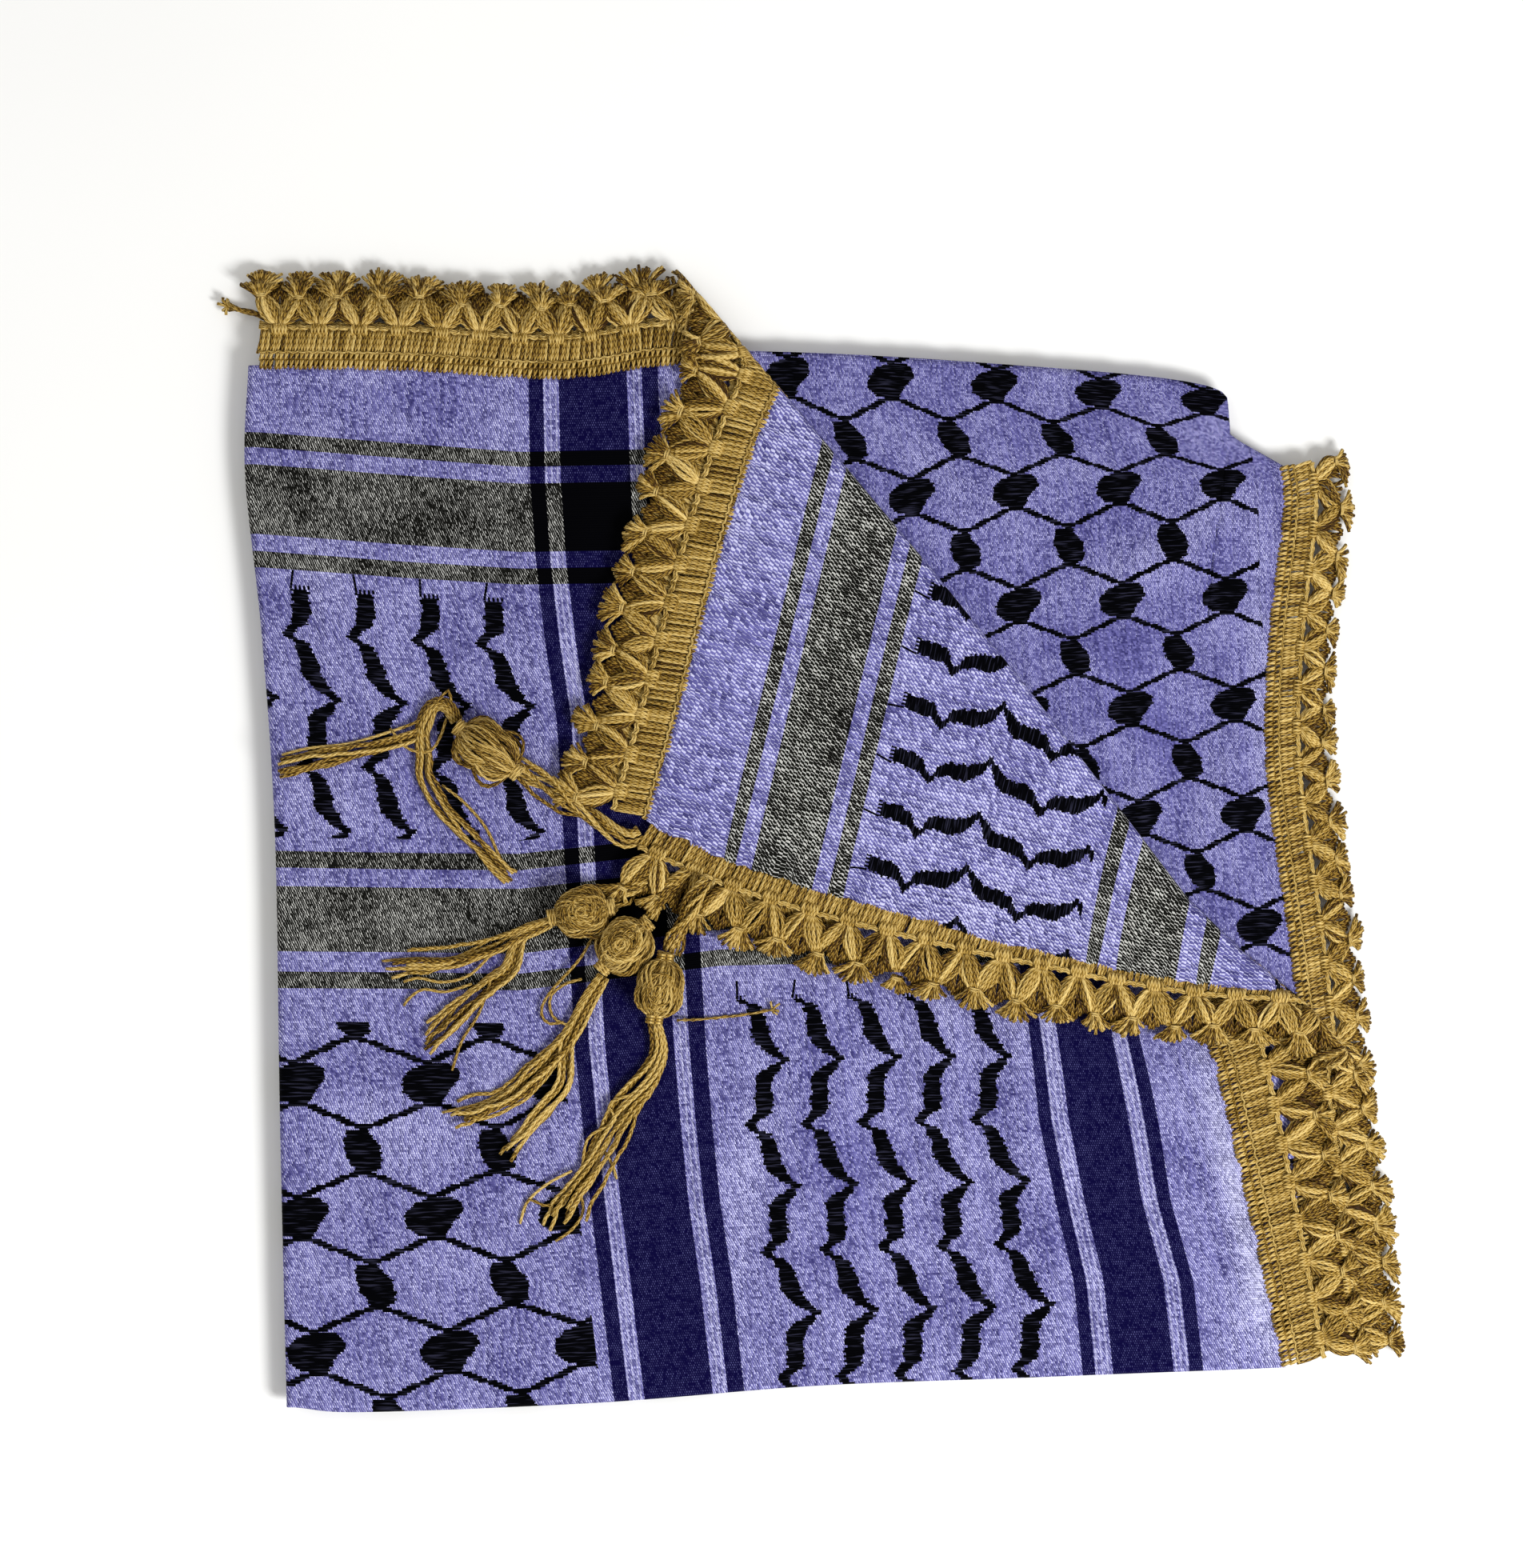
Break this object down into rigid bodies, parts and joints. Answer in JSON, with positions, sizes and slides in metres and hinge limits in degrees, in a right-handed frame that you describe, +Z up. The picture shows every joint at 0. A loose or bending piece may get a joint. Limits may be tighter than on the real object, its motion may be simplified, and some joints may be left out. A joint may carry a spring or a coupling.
{
  "type": "folded keffiyeh headscarf",
  "caption": "Keffiyeh headscarf folded into a flat square pack, one corner turned back, with crochet lace along its edges and knotted yarn tassels at the corner.",
  "frame": {"origin": "centre of the folded scarf's bounding box, on the surface that it lies on", "axes": "+X across the pack from the folded side to the lace side, +Y from the foot fold to the lace at the far end, +Z up out of the surface"},
  "size_m": [0.355, 0.3431, 0.0253],
  "materials": {
    "cloth": "woven cotton and viscose, soft sheen",
    "lace": "crocheted gold yarn, matte with a slight lustre",
    "tassel": "plied gold yarn, matte with a slight lustre"
  },
  "bodies": {
    "root": {"inner_folds": "cloth", "net_panel": "cloth", "back_panel": "cloth", "front_panel": "cloth", "front_lace_top": "lace", "front_lace_right": "lace", "back_lace_top": "lace", "back_lace_right": "lace", "net_lace_right": "lace", "lace_end_tuft": "lace", "tassel_1_braid": "tassel", "tassel_1_ball": "tassel", "tassel_2_braid": "tassel", "tassel_2_ball": "tassel", "tassel_3_braid": "tassel", "tassel_3_ball": "tassel", "tassel_4_braid": "tassel", "tassel_4_ball": "tassel", "tassel_1_tail_a": "tassel", "tassel_1_tail_b": "tassel", "tassel_2_tail_a": "tassel", "tassel_2_tail_b": "tassel", "tassel_3_tail_a": "tassel", "tassel_3_tail_b": "tassel", "tassel_4_tail": "tassel", "tassel_4_thread": "tassel"}
  },
  "joints": []
}
